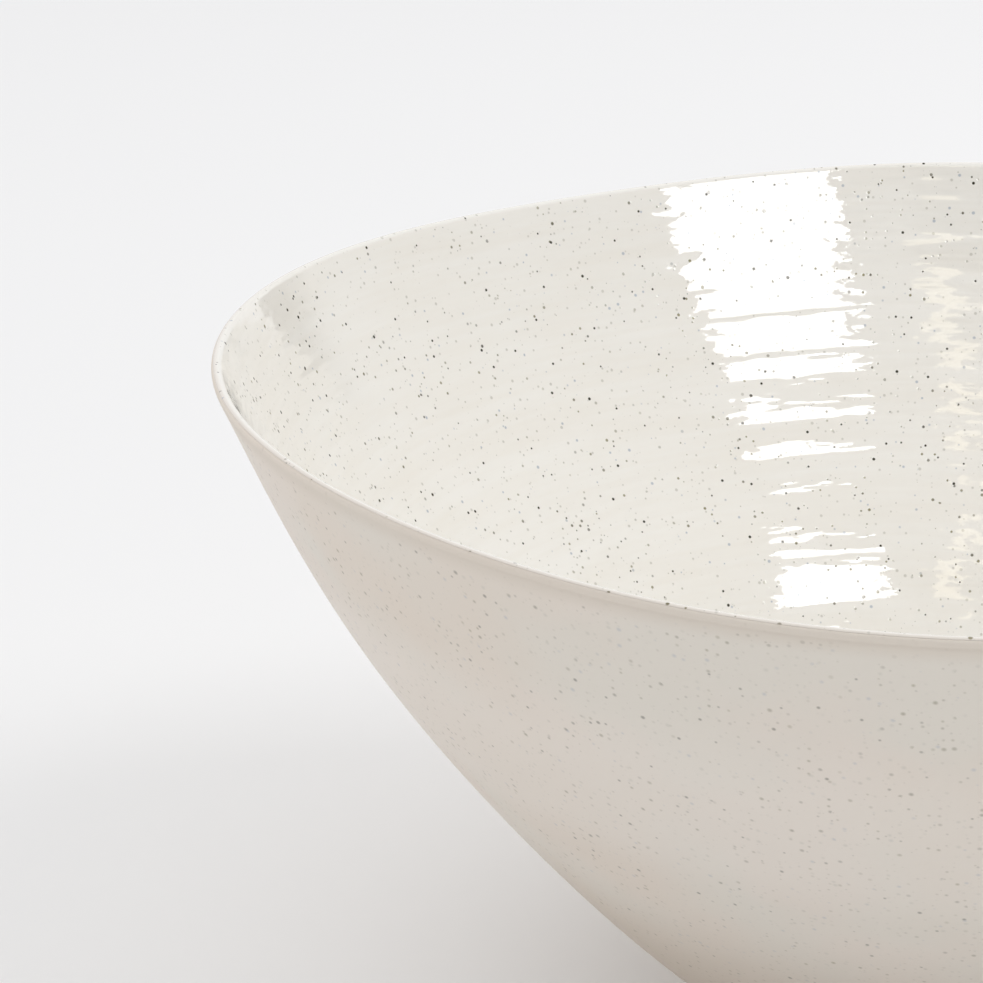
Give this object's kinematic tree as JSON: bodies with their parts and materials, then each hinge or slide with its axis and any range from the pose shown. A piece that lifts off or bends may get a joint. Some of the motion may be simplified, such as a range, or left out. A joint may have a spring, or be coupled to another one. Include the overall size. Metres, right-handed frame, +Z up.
{
  "type": "bowl",
  "caption": "Wide, deep round serving bowl with a thin uneven lip, a turned foot ring, a matt speckled clay outside and a glossy glazed inside.",
  "frame": {"origin": "centre of the foot ring's resting face", "axes": "+Z up out of the mouth, along the axis the bowl was thrown on; +X and +Y across the rim"},
  "size_m": [0.2878, 0.2878, 0.1318],
  "materials": {
    "speckled_clay": "matt, fine dark specks",
    "inner_glaze": "glossy transparent white over specks"
  },
  "bodies": {
    "root": {"clay_body": "speckled_clay", "inner_glaze": "inner_glaze"}
  },
  "joints": []
}
